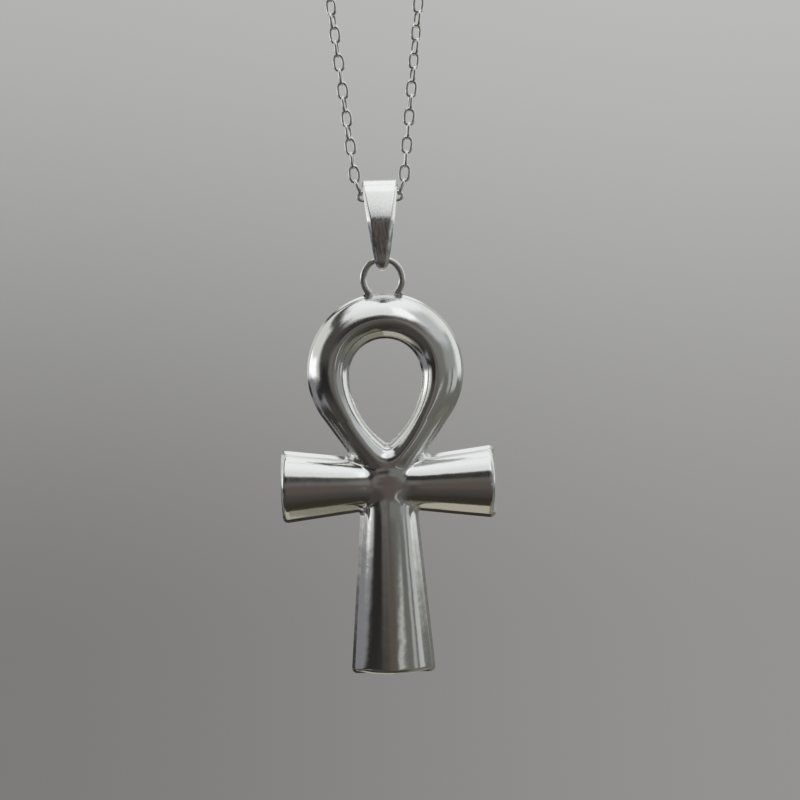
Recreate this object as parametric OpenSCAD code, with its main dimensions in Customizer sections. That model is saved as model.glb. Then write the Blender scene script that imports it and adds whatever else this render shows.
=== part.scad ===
// An ankh pendant on a cable chain: a domed cross with a teardrop loop, a soldered ring, a tapered bail, and the
// whole necklace hanging from the top of its loop. The front faces -Y, +Z is up and the origin is the hang point.

/* [Cross] */
// Height of the cross without its ring
ankh_h = 50; // [44:0.5:58]
// Outer width of the loop
loop_w = 20.6; // [18:0.1:23]
// Width of the loop's band at its sides
band_w = 5.54; // [4.8:0.02:6]
// Width of the loop's band at the top
band_top_w = 6; // [5.2:0.1:6.6]
// Height of the teardrop hole
hole_h = 13.8; // [12:0.1:15]
// Slope of the loop's lower sides from upright, in degrees
loop_taper = 35; // [30:1:40]
// Distance from the top of the loop down to the middle of the arms
arm_drop = 25.2; // [24:0.1:27]
// Width across both arms
arm_span = 28.6; // [25:0.1:33]
// Height of an arm where it crosses the stem
arm_root_h = 6.2; // [5:0.1:7.5]
// Height of an arm at its end
arm_end_h = 9.65; // [8:0.05:12]
// Width of the stem where it crosses the arms
stem_root_w = 7; // [6:0.1:8.5]
// Width of the stem at its foot
stem_end_w = 11.1; // [9:0.1:13]
// Radius of the corners at the ends of the arms and the stem
corner_r = 0.45; // [0.2:0.05:0.8]

/* [Relief] */
// Height of the upright edge round the cross
rim_h = 0.6; // [0.3:0.05:1]
// Height of the loop's dome above the edge
loop_dome_h = 2.15; // [1.6:0.05:2.4]
// Height of the domes above the edge where the arms and the stem cross
root_dome_h = 2.45; // [2.2:0.05:2.8]
// Height of an arm's dome above the edge at its end
arm_end_dome_h = 2.95; // [2.4:0.05:3.6]
// Height of the stem's dome above the edge at its foot
stem_end_dome_h = 3.3; // [2.6:0.05:4]

/* [Ring] */
// Outer diameter of the soldered ring
ring_d = 5.98; // [5.4:0.02:7]
// Wire of the soldered ring
ring_wire = 0.87; // [0.7:0.01:1]
// Depth that the ring is let into the top of the cross
ring_sink = 1.19; // [0.9:0.01:1.4]
// Distance from the flat back of the cross to the plane of the ring
ring_back = 1.35; // [1:0.05:1.6]

/* [Bail] */
// Height of the bail
bail_h = 11.85; // [11:0.05:14]
// Thickness of its folded strip
bail_t = 0.85; // [0.6:0.05:1]
// Width of the strip at the top
bail_top_w = 4.75; // [4:0.05:4.9]
// Width of the strip at the bottom
bail_low_w = 1.55; // [1.2:0.05:1.9]
// Radius of the outward swell of its front and back
bail_swell_r = 30; // [20:1:60]
// Space between the chain's links and the upper bend
chain_gap = 0.5; // [0.4:0.05:0.8]
// Space between the ring's wire and the lower bend
ring_gap = 0.225; // [0.2:0.005:0.4]

/* [Chain] */
// Length of the closed necklace, along the middle of its links
necklace_length = 450; // [400:1:460]
// Distance from one link to the next
pitch = 1.845; // [1.75:0.005:2]
// Wire of a link
link_wire = 0.28; // [0.22:0.01:0.3]
// Outer width of a link
link_w = 1.5; // [1.45:0.01:1.6]
// Space between a link's wire and its neighbour's
link_gap = 0.12; // [0.1:0.005:0.14]
// Lean of the hanging strands from upright, in degrees
strand_tilt = 6.3; // [4:0.1:8]
// Lean of the link that climbs out of the bail, in degrees
climb_tilt = 20; // [16:1:24]

/* [Clasp] */
// Length of the clasp between the middles of its end wires
clasp_l = 8.4; // [7.5:0.1:10]
// Outer width of the clasp's body
clasp_w = 3.8; // [3.4:0.1:4.4]
// Wire of the clasp
clasp_wire = 0.9; // [0.7:0.05:1]
// Diameter of the knuckle that the clasp's lever turns on
knuckle_d = 1.9; // [1.6:0.1:2.2]
// Length of that knuckle, front to back
knuckle_l = 1.6; // [1.2:0.1:2]
// Outer diameter of a jump ring
jump_d = 3.2; // [3:0.1:3.6]
// Space between a jump ring's wire and what it holds
jump_gap = 0.15; // [0.12:0.01:0.2]
// Space between a jump ring and the inside of the clasp's eye
eye_gap = 0.46; // [0.4:0.02:0.6]
// Wire of a jump ring
jump_wire = 0.5; // [0.4:0.05:0.6]

/* [Hidden] */
$fn = 64;
silver = [0.8, 0.8, 0.81];

// The cross, in its own flat frame: x to the right, y up, z out of the flat back, zero at the loop's centre
loop_r = loop_w / 2;
hole_r = loop_r - band_w;
hole_y = loop_r - band_top_w - hole_r;
hole_tip_y = hole_y + hole_r - hole_h;
// Worked-out radii are rounded to this, so that the faces that they join match
grain = 0.001;
// Radius of the arcs that run from the hole's round top down to its point
hole_side_r = grain * round((pow(hole_r, 2) + pow(hole_y - hole_tip_y, 2)) / (2 * hole_r) / grain);
crest_r = hole_r + band_w / 2;
arm_y = loop_r - arm_drop;
foot_y = loop_r - ankh_h;
// Longer than any of the cross's own sizes, for the bodies that only trim others
reach = 2 * ankh_h;
// The domes spring from just outside the walls
dome_foot = 0.06;
dome_turn = 72;
root_overlap = 1.5;

// The bail's bends, from what passes through them
bail_top_r = link_w / 2 + chain_gap + bail_t;
bail_low_r = ring_wire / 2 + ring_gap + bail_t;
bail_axis_gap = bail_h - bail_top_r - bail_low_r;
ring_r = (ring_d - ring_wire) / 2;

// The links
link_r = (link_w - link_wire) / 2;
link_straight = (pitch + link_wire + link_gap) / 2 - link_r;
wire_step = (link_wire + link_gap) / 2;
// Space that the climbing link leaves beside the bail's edge
edge_gap = 0.3;
level_half = 2 * ceil(((bail_top_w / 2 + edge_gap) / pitch - 1.5) / 2) + 1;
level_x = (level_half + 0.5) * pitch;
// How far the climbing link's wire sits out from the middle of the last level link's round end
climb_shift = 0.13;
climb_x = level_x + wire_step - link_r + climb_shift;
strand_x = climb_x + (wire_step + pitch) * sin(climb_tilt);
strand_z = climb_shift + (wire_step + pitch) * cos(climb_tilt);

// The clasp and its rings
jump_r = (jump_d - jump_wire) / 2;
jump_s = jump_r + link_gap / 2 - jump_gap - jump_wire / 2;
clasp_half = jump_s + jump_r - (jump_wire + clasp_wire) / 2 - jump_gap + clasp_l / 2;
claw_r = (clasp_w - clasp_wire) / 2;
eye_r = (jump_wire + clasp_wire) / 2 + eye_gap;
// From the middle of the eye's wire to the middle of the body's, across the knuckle
knuckle_step = 0.6;

// A strand runs straight, then round the top arc to the middle of the clasp. The count is odd, so the clasp lies flat
strand_links = 2 * round(((necklace_length / 2 - level_x - pitch - clasp_half) / pitch - 1) / 2) + 1;
strand_length = strand_links * pitch + clasp_half;
top_turn = (90 + strand_tilt) * PI / 180;
straight_length = (strand_length - strand_x * top_turn / cos(strand_tilt)) / (1 + top_turn * tan(strand_tilt));
top_r = (strand_x + straight_length * sin(strand_tilt)) / cos(strand_tilt);
top_z = strand_z + straight_length * cos(strand_tilt) + top_r * sin(strand_tilt);
bail_z = -(top_z + top_r);
ring_z = bail_z - bail_axis_gap - ring_r;
loop_z = ring_z - ring_d / 2 + ring_sink - loop_r;
clasp_z = sqrt(pow(top_r, 2) - pow(clasp_l / 2, 2)) - top_r;

// A point on the right strand, at a distance s along it, as [x, height over the bail's axis]
function strand_point(s) =
    s <= straight_length
    ? [strand_x + s * sin(strand_tilt), strand_z + s * cos(strand_tilt)]
    : let (a = (s - straight_length) / top_r * 180 / PI - strand_tilt) [top_r * cos(a), top_z + top_r * sin(a)];

function unit(v) = v / norm(v);

// Points of a rounded corner at b, between its neighbours a and c
function corner(a, b, c, r, steps = 5) =
    let (
        u = unit(a - b),
        v = unit(c - b),
        half = acos(u * v) / 2,
        middle = b + unit(u + v) * r / sin(half),
        from = b + u * r / tan(half) - middle,
        to = b + v * r / tan(half) - middle,
        start = atan2(from.y, from.x),
        turn = atan2(cross(from, to), from * to)
    )
    [for (i = [0 : steps]) middle + r * [cos(start + turn * i / steps), sin(start + turn * i / steps)]];

// A closed outline from [x, y, corner radius] rows
function rounded(rows) =
    let (n = len(rows), p = [for (row = rows) [row.x, row.y]])
    [for (i = [0 : n - 1])
        each rows[i][2] > 0 ? corner(p[(i + n - 1) % n], p[i], p[(i + 1) % n], rows[i][2]) : [p[i]]];

// The cross's outline as a tall body: the loop, the arms and the stem, less the hole
module loop_body() {
    tangent = loop_r * [cos(loop_taper), -sin(loop_taper)];
    low = tangent + (tangent.y - arm_y) * [-tan(loop_taper), -1];
    cylinder(r = loop_r, h = reach);
    linear_extrude(reach) polygon([tangent, low, [-low.x, low.y], [-tangent.x, tangent.y]]);
}

module arm_body() {
    x = arm_span / 2;
    translate([0, arm_y])
        linear_extrude(reach)
            polygon(rounded([
                [x, arm_end_h / 2, corner_r],
                [0, arm_root_h / 2, 0],
                [-x, arm_end_h / 2, corner_r],
                [-x, -arm_end_h / 2, corner_r],
                [0, -arm_root_h / 2, 0],
                [x, -arm_end_h / 2, corner_r],
            ]));
}

module stem_body() {
    linear_extrude(reach)
        polygon(rounded([
            [stem_root_w / 2, arm_y, 0],
            [-stem_root_w / 2, arm_y, 0],
            [-stem_end_w / 2, foot_y, corner_r],
            [stem_end_w / 2, foot_y, corner_r],
        ]));
}

module hole_body() {
    translate([0, hole_y, -1]) {
        cylinder(r = hole_r, h = reach + 2);
        intersection() {
            intersection_for (side = [-1, 1])
                translate([side * (hole_side_r - hole_r), 0, 0]) cylinder(r = hole_side_r, h = reach + 2);
            translate([-hole_r, -2 * hole_h, 0]) cube([2 * hole_r, 2 * hole_h, reach + 2]);
        }
    }
}

module cross_body() {
    difference() {
        union() {
            loop_body();
            arm_body();
            stem_body();
        }
        hole_body();
    }
}

// Radius of the arc that spans a width w with a rise h, and a little more at each foot, so that it meets the walls
function dome_r(w, h) = (pow(w / 2 + dome_foot, 2) + pow(h, 2)) / (2 * h);

// A dome that widens along +X, from width w1 and rise h1 at the start to w2 and h2 at the length l
module dome(w1, h1, w2, h2, l) {
    start = -root_overlap;
    end = l + root_overlap;
    grow = (dome_r(w2, h2) - dome_r(w1, h1)) / l;
    fall = (h2 - dome_r(w2, h2) - h1 + dome_r(w1, h1)) / l;
    translate([start, 0, rim_h + h1 - dome_r(w1, h1) + fall * start])
        rotate([0, 90 - atan(fall), 0])
            cylinder(
                r1 = dome_r(w1, h1) + grow * start,
                r2 = dome_r(w1, h1) + grow * end,
                h = norm([end - start, fall * (end - start)])
            );
}

// The loop's dome: a round top and two sides that follow the hole
module loop_dome() {
    section_r = dome_r(band_w, loop_dome_h);
    section_z = rim_h + loop_dome_h - section_r;
    translate([0, hole_y, section_z]) {
        rotate_extrude(angle = 180) translate([crest_r, 0]) circle(r = section_r);
        for (flip = [0, 1])
            mirror([flip, 0, 0])
                translate([hole_side_r - hole_r, 0, 0])
                    rotate([0, 0, 180])
                        rotate_extrude(angle = dome_turn)
                            translate([hole_side_r + band_w / 2, 0])
                                circle(r = section_r);
    }
}

module domes() {
    loop_dome();
    translate([0, arm_y, 0])
        for (turn = [0, 180])
            rotate([0, 0, turn]) dome(arm_root_h, root_dome_h, arm_end_h, arm_end_dome_h, arm_span / 2);
    translate([0, arm_y, 0])
        rotate([0, 0, -90]) dome(stem_root_w, root_dome_h, stem_end_w, stem_end_dome_h, arm_y - foot_y);
    translate([-reach / 2, -reach / 2, -rim_h]) cube([reach, reach, 2 * rim_h]);
}

module ankh() {
    color(silver)
        translate([0, 0, loop_z])
            rotate([90, 0, 0])
                translate([0, 0, -ring_back]) {
                    intersection() {
                        cross_body();
                        domes();
                    }
                    translate([0, ring_z - loop_z, ring_back])
                        rotate_extrude() translate([ring_r, 0]) circle(d = ring_wire);
                }
}

// The bail's closed side shape across its whole width, drawn in by the inset: two bends and the swell between
module bail_block(inset) {
    width = 2 * bail_top_w;
    top_reach = bail_swell_r - bail_top_r;
    low_reach = bail_swell_r - bail_low_r;
    swell_z = (pow(top_reach, 2) - pow(low_reach, 2) + pow(bail_axis_gap, 2)) / (2 * bail_axis_gap);
    swell_y = sqrt(pow(top_reach, 2) - pow(swell_z, 2));
    // Where the swell meets the two bends
    join_top = swell_z / top_reach * (bail_top_r - inset);
    join_low = bail_axis_gap + (bail_axis_gap - swell_z) / low_reach * (bail_low_r - inset);
    rotate([90, 0, 90]) {
        cylinder(r = bail_top_r - inset, h = width, center = true);
        translate([0, -bail_axis_gap, 0]) cylinder(r = bail_low_r - inset, h = width, center = true);
        intersection() {
            intersection_for (side = [-1, 1])
                translate([side * swell_y, -swell_z, 0])
                    cylinder(r = bail_swell_r - inset, h = width, center = true);
            translate([-bail_h, -join_low, -width / 2]) cube([2 * bail_h, join_low + join_top, width]);
        }
    }
}

module bail() {
    color(silver)
        translate([0, 0, bail_z])
            intersection() {
                difference() {
                    bail_block(0);
                    bail_block(bail_t);
                }
                rotate([90, 0, 0])
                    linear_extrude(2 * bail_h, center = true)
                        polygon([
                            [bail_top_w / 2, bail_top_r],
                            [-bail_top_w / 2, bail_top_r],
                            [-bail_low_w / 2, bail_top_r - bail_h],
                            [bail_low_w / 2, bail_top_r - bail_h],
                        ]);
            }
}

// One link along +X from a joint at the origin to the next at the pitch: its two round ends, and its two sides
module link_end(side) {
    translate([pitch / 2 + side * link_straight, 0, 0])
        rotate([0, 0, -90 * side]) rotate_extrude(angle = 180) translate([link_r, 0]) circle(d = link_wire);
}

module link_side(side) {
    translate([pitch / 2 - link_straight, side * link_r, 0])
        rotate([0, 90, 0]) cylinder(d = link_wire, h = 2 * link_straight);
}

// Places a link of a right or left strand. Link 0 lies across the middle of the bail, the next ones lie level, one
// climbs out past the bail's edge, and the rest follow the strand
module at_link(i, hand) {
    climbing = i == level_half + 1;
    s = (i - level_half - 2) * pitch;
    from = i <= level_half ? [(i - 0.5) * pitch, 0]
        : climbing ? [climb_x + wire_step * sin(climb_tilt), climb_shift + wire_step * cos(climb_tilt)]
        : strand_point(s);
    to = i <= level_half ? [(i + 0.5) * pitch, 0]
        : climbing ? [strand_x, strand_z]
        : strand_point(s + pitch);
    rise = atan2(to.y - from.y, to.x - from.x);
    mirror([hand < 0 ? 1 : 0, 0, 0])
        translate([from.x, 0, bail_z + from.y])
            rotate([0, -rise, 0]) rotate([90 * (i % 2), 0, 0]) children();
}

module chain(first, hand) {
    last = level_half + 1 + strand_links;
    color(silver) {
        for (i = [first : last], side = [-1, 1]) at_link(i, hand) link_end(side);
        for (i = [first : last], side = [-1, 1]) at_link(i, hand) link_side(side);
    }
}

module jump_ring(hand) {
    a = (strand_links * pitch + jump_s - straight_length) / top_r * 180 / PI - strand_tilt;
    color(silver)
        mirror([hand < 0 ? 1 : 0, 0, 0])
            translate([top_r * cos(a), 0, bail_z + top_z + top_r * sin(a)])
                rotate([0, 90 - a, 0]) rotate_extrude() translate([jump_r, 0]) circle(d = jump_wire);
}

// A round end of the clasp's body, which opens along +X
module claw_end() {
    rotate([0, 0, 90]) rotate_extrude(angle = 180) translate([claw_r, 0]) circle(d = clasp_wire);
}

// A plain lobster-style clasp: a tail eye, and an oval body with the knuckle of its lever
module clasp() {
    eye_x = eye_r - clasp_l / 2;
    body_start = eye_x + eye_r + knuckle_step + claw_r;
    body_end = clasp_l / 2 - claw_r;
    color(silver)
        translate([0, 0, clasp_z])
            rotate([90, 0, 0]) {
                translate([eye_x, 0, 0]) rotate_extrude() translate([eye_r, 0]) circle(d = clasp_wire);
                translate([eye_x + eye_r + knuckle_step / 2, 0, 0])
                    cylinder(d = knuckle_d, h = knuckle_l, center = true);
                translate([body_start, 0, 0]) claw_end();
                translate([body_end, 0, 0]) mirror([1, 0, 0]) claw_end();
                for (side = [-1, 1])
                    translate([body_start, side * claw_r, 0])
                        rotate([0, 90, 0]) cylinder(d = clasp_wire, h = body_end - body_start);
            }
}

ankh();
bail();
chain(1, -1);  // chain_left
chain(0, 1);  // chain_right
clasp();
jump_ring(-1);  // jump_ring_left
jump_ring(1);  // jump_ring_right
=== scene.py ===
"""The looks of the ankh pendant and its chain, made round the fixed frame.

Sizes are in millimetres and become metres where an object is made. Only the light is placed in metres.
"""
import math

import bmesh
import bpy
import numpy as np
from mathutils import Matrix, Vector
from mathutils.geometry import delaunay_2d_cdt
from mathutils.kdtree import KDTree


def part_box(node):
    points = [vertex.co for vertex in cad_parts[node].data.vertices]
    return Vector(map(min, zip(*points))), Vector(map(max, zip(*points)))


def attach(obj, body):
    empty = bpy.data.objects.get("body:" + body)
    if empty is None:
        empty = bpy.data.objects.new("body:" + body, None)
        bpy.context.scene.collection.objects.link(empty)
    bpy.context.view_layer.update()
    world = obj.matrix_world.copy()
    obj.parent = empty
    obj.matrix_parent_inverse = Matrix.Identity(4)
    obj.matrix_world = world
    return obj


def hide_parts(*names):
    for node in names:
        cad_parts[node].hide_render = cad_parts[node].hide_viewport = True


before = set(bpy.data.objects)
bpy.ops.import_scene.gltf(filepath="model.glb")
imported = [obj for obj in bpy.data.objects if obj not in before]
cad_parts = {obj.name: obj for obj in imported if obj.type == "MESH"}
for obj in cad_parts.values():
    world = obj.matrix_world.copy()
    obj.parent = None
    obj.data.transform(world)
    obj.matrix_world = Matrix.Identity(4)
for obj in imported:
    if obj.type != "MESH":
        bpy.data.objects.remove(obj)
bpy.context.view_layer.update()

MM = 0.001

# The cross in its own flat frame: x to the right, y up, and z out of its flat back.
# Zero is the middle of its loop
ANKH_H = 50.0
LOOP_R = 10.3
BAND_W = 5.54
BAND_TOP_W = 6.0
HOLE_H = 13.8
LOOP_TAPER = math.radians(35)
ARM_DROP = 25.2
ARM_SPAN = 28.6
ARM_ROOT_H = 6.2
ARM_END_H = 9.65
STEM_ROOT_W = 7.0
STEM_END_W = 11.1
CORNER_R = 0.7
RIM_H = 0.6
LOOP_DOME_H = 2.15
ROOT_DOME_H = 2.45
ARM_END_DOME_H = 2.95
STEM_END_DOME_H = 3.3

HOLE_R = LOOP_R - BAND_W
HOLE_Y = LOOP_R - BAND_TOP_W - HOLE_R
HOLE_TIP_Y = HOLE_Y + HOLE_R - HOLE_H
ARM_Y = LOOP_R - ARM_DROP
FOOT_Y = LOOP_R - ANKH_H

# The corners of the cross. The ends of the arms bulge out a little
END_BULGE = 0.3
BACK_EDGE_R = 0.15
HOLE_TIP_R = 0.35
LOOP_CORNER_R = 0.45
STEM_CORNER_R = 0.3

# The rim narrows between these heights, from the arms' width to the loop's
RIM_W = 0.42
LOOP_RIM_W = 0.26
RIM_LOW = -11.0
RIM_HIGH = -8.0
RIM_SLOPE = 0.75

# The ridge's place, as a share of the band's width from the hole, at the loop's top and at its point
RIDGE_SHARE = 0.36
RIDGE_SHARE_LOW = 0.5
# The dome leaves the ridge with these tilts, and the ridge is blended over this much height
OUTER_TILT = math.radians(8)
INNER_TILT = math.radians(15)
RIDGE_BLEND = 0.14
# The loop's straight sides meet softly within this distance from the middle line
LOOP_FOLD = 1.6
LEAST_BAND = 1.0
# The loop's dome is a little taller at its point, from this far over the hole's tip to as far under it
POINT_RISE = 0.3
POINT_REACH = 3.0
# A dome falls at this slope past its foot
FOOT_SLOPE = 3.0

# How the domes of the arms and the stem climb toward their ends: 1 is straight
ARM_FLARE = 1.5
STEM_FLARE = 0.7
# Rounds the arms' climb off on the middle line, in square millimetres
ARM_FOLD = 0.5
# The loop fades out from this far over the arms' middle line, and the stem from this far
LOOP_FADE = 0.5
STEM_FADE = 1.0
# The domes round over behind the rims at the ends, and drop at this slope past them
END_ROUND = 0.6
END_SLOPE = 100

# The domes meet in sharp valleys at the corners, and melt together in the middle of the cross
CORNER_BLEND = 0.7
MIDDLE_BLEND = 1.6
MIDDLE_R = 3.6
MIDDLE_DROP = 0.45
# The floor of a valley climbs from a corner toward this height, at this rate for each millimetre
VALLEY_H = 1.3
VALLEY_RATE = 1.1
VALLEY_BLEND = 0.16

# The soldered ring: how far it sinks into the loop, how far over the flat back the wire of its top runs,
# how far its foot leans back from there, and half of the angle that it is open by at its foot
RING_D = 5.98
RING_WIRE = 0.87
RING_SINK = 1.19
RING_BACK = 1.35
RING_LEAN = 0.95
RING_OPEN = math.radians(40)
RING_R = (RING_D - RING_WIRE) / 2
SOLDER = [
    # x, y, z, and the half sizes along them
    (2.2, 10.12, 0.42, 0.5, 0.26, 0.34),
    (2.1, 10.3, 0.5, 0.4, 0.3, 0.36),
]

# The bail
BAIL_H = 11.85
BAIL_T = 0.85
BAIL_TOP_W = 4.75
BAIL_LOW_W = 1.55
BAIL_BOW = 0.3
BAIL_SWELL_R = 30.0
CHAIN_GAP = 0.5
RING_GAP = 0.225
BEVEL_DEPTH = 0.45
# The strip's bevels widen from its top to where its upper panel ends, at these heights over the upper axis
BEVEL_TOP_W = 0.2
BEVEL_LOW_W = 0.5
PANEL_TOP = 1.6
PANEL_LOW = -3.5
# In front, the upper panel leans back: this far under the plain strip at its top, and over it at its end
PANEL_RISE = 0.28

# The chain
PITCH = 1.845
LINK_WIRE = 0.28
LINK_W = 1.5
LINK_GAP = 0.12
STRAND_TILT = math.radians(6.3)
CLIMB_TILT = math.radians(20)
CLIMB_SHIFT = 0.13
LEVEL_HALF = 1
STRAND_LINKS = 117
STRAIGHT_LENGTH = 182.35

BAIL_TOP_R = LINK_W / 2 + CHAIN_GAP + BAIL_T
BAIL_LOW_R = RING_WIRE / 2 + RING_GAP + BAIL_T
BAIL_AXIS_GAP = BAIL_H - BAIL_TOP_R - BAIL_LOW_R
LINK_R = (LINK_W - LINK_WIRE) / 2
WIRE_STEP = (LINK_WIRE + LINK_GAP) / 2
LEVEL_X = (LEVEL_HALF + 0.5) * PITCH
CLIMB_X = LEVEL_X + WIRE_STEP - LINK_R + CLIMB_SHIFT
STRAND_X = CLIMB_X + (WIRE_STEP + PITCH) * math.sin(CLIMB_TILT)
STRAND_Z = CLIMB_SHIFT + (WIRE_STEP + PITCH) * math.cos(CLIMB_TILT)

# Places from the frame
ankh_low, ankh_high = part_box("ankh")
_, bail_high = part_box("bail")
LOOP_Z = ankh_low.z / MM - FOOT_Y
BACK_Y = ankh_high.y / MM
BAIL_Z = bail_high.z / MM - BAIL_TOP_R
RING_Y = LOOP_R + RING_D / 2 - RING_SINK
RING_Z = LOOP_Z + RING_Y


# Camera
CAMERA_DISTANCE = 165.0
CAMERA_X = 1.83
CAMERA_BELOW_RING = 15.96
CAMERA_ROLL = math.radians(1.65)
FRAME_W = 104.8
SENSOR_W = 36.0
CLIP_NEAR = 5.0
CLIP_FAR = 20000.0


def make_camera():
    data = bpy.data.cameras.new("Camera")
    data.sensor_width = SENSOR_W
    data.lens = SENSOR_W * CAMERA_DISTANCE / FRAME_W
    data.clip_start = CLIP_NEAR * MM
    data.clip_end = CLIP_FAR * MM
    camera = bpy.data.objects.new("Camera", data)
    camera.location = Vector((CAMERA_X, -CAMERA_DISTANCE, RING_Z - CAMERA_BELOW_RING)) * MM
    camera.rotation_euler = (math.pi / 2, CAMERA_ROLL, 0)
    bpy.context.scene.collection.objects.link(camera)
    bpy.context.scene.camera = camera


# Node helpers
def linear(level):
    """The linear value of an sRGB level from 0 to 255."""
    share = level / 255
    return share / 12.92 if share <= 0.04045 else ((share + 0.055) / 1.055) ** 2.4


def colour(red, green, blue):
    return (linear(red), linear(green), linear(blue), 1)


class Nodes:
    """A short way to write a node tree."""

    def __init__(self, tree):
        self.tree = tree
        tree.nodes.clear()

    def add(self, kind, inputs=None, **settings):
        node = self.tree.nodes.new(kind)
        for name, value in settings.items():
            setattr(node, name, value)
        for name, value in (inputs or {}).items():
            self.plug(node.inputs[name], value)
        return node

    def plug(self, socket, value):
        if isinstance(value, bpy.types.NodeSocket):
            self.tree.links.new(value, socket)
        else:
            socket.default_value = value

    def math(self, operation, a, b=0.0, c=0.0, clamp=False):
        node = self.add("ShaderNodeMath", {0: a, 1: b, 2: c}, operation=operation, use_clamp=clamp)
        return node.outputs[0]

    def ramp(self, value, low, high, out_low=0.0, out_high=1.0, kind="SMOOTHSTEP"):
        """A step of the value from low to high, smooth or linear."""
        inputs = {"Value": value, "From Min": low, "From Max": high, "To Min": out_low, "To Max": out_high}
        return self.add("ShaderNodeMapRange", inputs, interpolation_type=kind).outputs[0]

    def noise(self, place, scale, detail):
        """Noise as two outputs, a value and a colour."""
        return self.add("ShaderNodeTexNoise", {"Vector": place, "Scale": scale, "Detail": detail}).outputs

    def mix(self, share, a, b):
        node = self.add("ShaderNodeMix", data_type="RGBA")
        self.plug(node.inputs[0], share)
        self.plug(node.inputs[6], a)
        self.plug(node.inputs[7], b)
        return node.outputs[2]


# Surroundings: soft-edged patches of light by azimuth and elevation, in degrees, painted over one another.
# Azimuth 0 is behind the camera, and + is to the camera's right. The slope tilts a patch: degrees up for
# each one to the right of its middle
SURROUNDINGS = [
    # azimuth from, to, softness, elevation from, to, softness, slope, sRGB colour
    (0, 400, 36, -30, 45, 30, 0, (88, 86, 80)),
    (55, 400, 20, -200, -24, 12, 0, (106, 105, 95)),
    (-400, -60, 20, -200, -22, 10, 0, (52, 49, 45)),
    (-40, 60, 24, -200, -52, 24, 0, (50, 46, 40)),
    (30, 400, 20, -200, -68, 8, 0, (98, 95, 83)),
    (105, 400, 20, -200, -40, 16, 0, (122, 119, 105)),
    (-400, -105, 20, -200, -40, 16, 0, (165, 160, 145)),
    (28, 400, 20, -24, 40, 10, 0, (98, 98, 94)),
    (46, 400, 20, 2, 40, 10, 0, (138, 139, 136)),
    (-400, 400, 1, 34, 200, 7, 0, (212, 213, 211)),
    (-400, 400, 1, 58, 200, 30, 0, (232, 233, 233)),
    (34, 84, 30, 22, 58, 12, 0, (178, 180, 178)),
    (8, 32, 8, 38, 62, 10, 0, (244, 245, 245)),
    (92, 400, 14, -4, 60, 8, 0, (214, 215, 210)),
    (60, 70, 6, -14, 3, 6, 0, (152, 153, 150)),
    (78, 97, 8, -14, 3, 6, 0, (172, 173, 170)),
    (-400, -64, 8, -23, -2, 8, 0, (118, 118, 121)),
    (-400, -68, 12, -2, 60, 5, 0, (200, 200, 194)),
    (-136, -84, 6, 0, 15, 5, 0, (255, 255, 255)),
    (-72, -20, 18, -14, 36, 16, 0, (60, 58, 55)),
    (-60, -32, 14, -12, 8, 14, 0, (34, 33, 32)),
    (-96, -22, 12, -10.5, 0.0, 5, 0.29, (38, 37, 36)),
    (12, 40, 10, -9.5, -6, 3, 0.3, (176, 176, 172)),
    (-142, -52, 12, 45, 59, 7, -0.24, (70, 68, 65)),
    (-66, -36, 14, 10, 44, 10, 0, (68, 66, 63)),
    (2, 44, 16, 0, 22, 12, 0, (108, 107, 104)),
    (-34, -4, 16, -4, 16, 14, 0, (100, 96, 92)),
    (-8, 8, 16, -24, 0, 16, 0, (84, 75, 70)),
    (-26, 0, 12, 15, 35, 8, 0, (46, 44, 43)),
    (148, 400, 20, -38, 50, 20, 0, (140, 140, 138)),
    (-400, -148, 20, -38, 50, 20, 0, (140, 140, 138)),
    (166, 400, 16, -30, 50, 40, 0, (205, 205, 202)),
    (-400, -166, 16, -30, 50, 40, 0, (205, 205, 202)),
]
BASE_COLOUR = (63, 60, 57)
# The colours are as the silver shows them. The silver darkens what it mirrors, so they are made brighter
SURROUNDINGS_STRENGTH = 1.14
# The patches' edges wander by up to this many degrees, by a noise that is smoothed between two values of it
EDGE_SHIFT = 4.0
EDGE_GRAIN = 3.0
EDGE_DETAIL = 1.5
EDGE_SMOOTHING = (-0.2, 1.2)
# The plain backdrop that the camera sees, between two elevations in degrees, and this far to each side
BACKDROP_LOW_LEFT = (124, 123, 121)
BACKDROP_LOW_RIGHT = (148, 147, 145)
BACKDROP_HIGH_LEFT = (182, 182, 180)
BACKDROP_HIGH_RIGHT = (190, 190, 188)
BACKDROP_RISE = (-11.0, 23.0)
BACKDROP_SIDE = 0.34


def window(nodes, value, low, high, soft):
    """1 between low and high, and 0 outside them, with soft edges."""
    up = nodes.ramp(value, low - soft / 2, low + soft / 2)
    down = nodes.ramp(value, high - soft / 2, high + soft / 2, 1.0, 0.0)
    return nodes.math("MULTIPLY", up, down)


def shifted(nodes, value, shift):
    return nodes.math("MULTIPLY_ADD", nodes.math("SUBTRACT", shift, 0.5), 2 * EDGE_SHIFT, c=value)


def paint_surroundings(nodes, azimuth, elevation):
    paint = colour(*BASE_COLOUR)
    for az_low, az_high, az_soft, el_low, el_high, el_soft, slope, tone in SURROUNDINGS:
        across = window(nodes, azimuth, az_low, az_high, az_soft)
        level = elevation
        if slope:
            aside = nodes.math("SUBTRACT", azimuth, (az_low + az_high) / 2)
            level = nodes.math("MULTIPLY_ADD", aside, -slope, c=elevation)
        along = window(nodes, level, el_low, el_high, el_soft)
        paint = nodes.mix(nodes.math("MULTIPLY", across, along), paint, colour(*tone))
    return paint


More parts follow.
